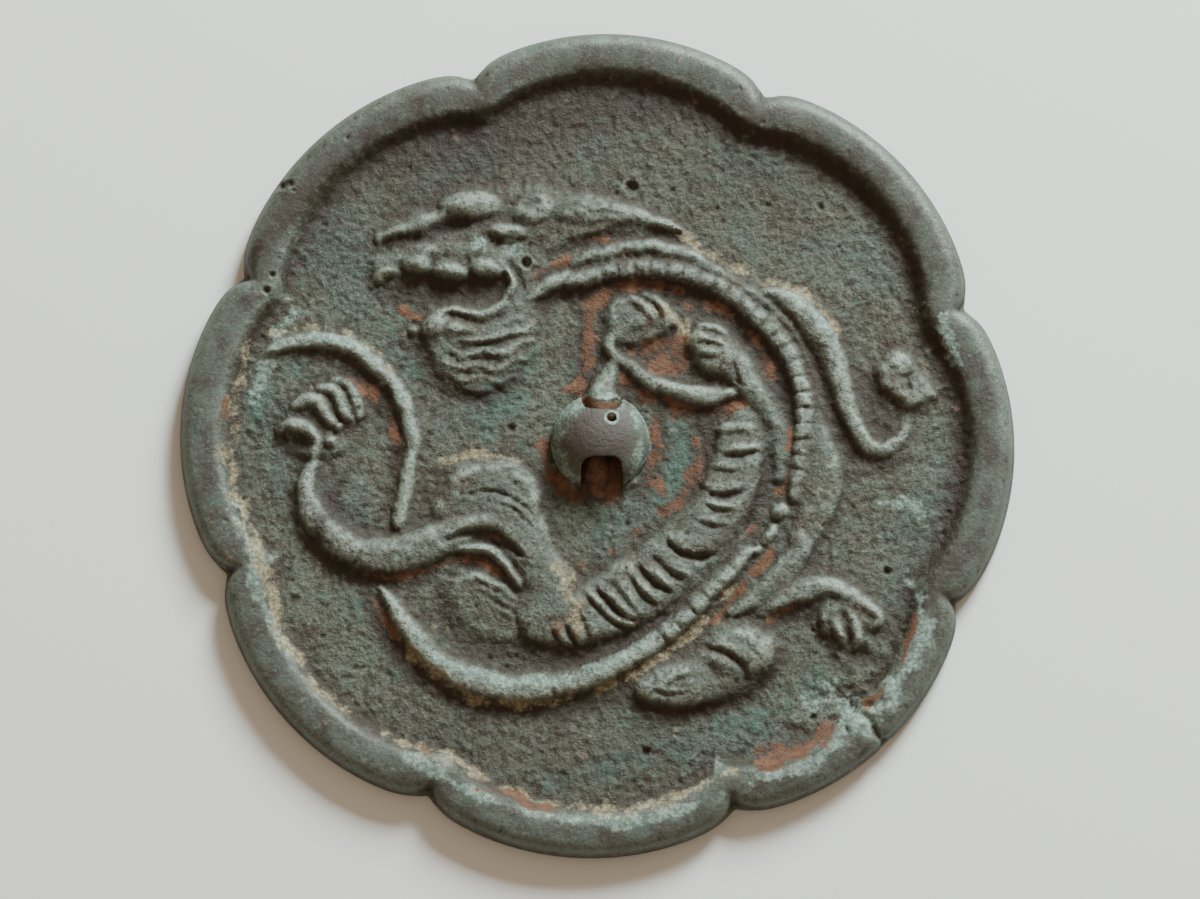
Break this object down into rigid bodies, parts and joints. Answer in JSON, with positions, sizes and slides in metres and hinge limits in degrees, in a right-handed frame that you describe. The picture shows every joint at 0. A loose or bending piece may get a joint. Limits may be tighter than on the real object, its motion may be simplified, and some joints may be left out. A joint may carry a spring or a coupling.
{
  "type": "ancient bronze mirror",
  "caption": "Cast bronze mirror with a lobed mallow outline, its back decorated with a dragon in relief that coils round a pierced domed knob inside a raised rim.",
  "frame": {"origin": "middle of the flat polished face, under the middle of the outline", "axes": "+Z out of the decorated back, +Y towards the dragon's head side, as the picture's up"},
  "size_m": [0.1498, 0.1498, 0.0106],
  "materials": {
    "patinated_bronze": "matt grey-green patina with brown hollows, worn smoother on the rim and the tops of the relief"
  },
  "bodies": {
    "root": {"bronze_mirror": "patinated_bronze"}
  },
  "joints": []
}
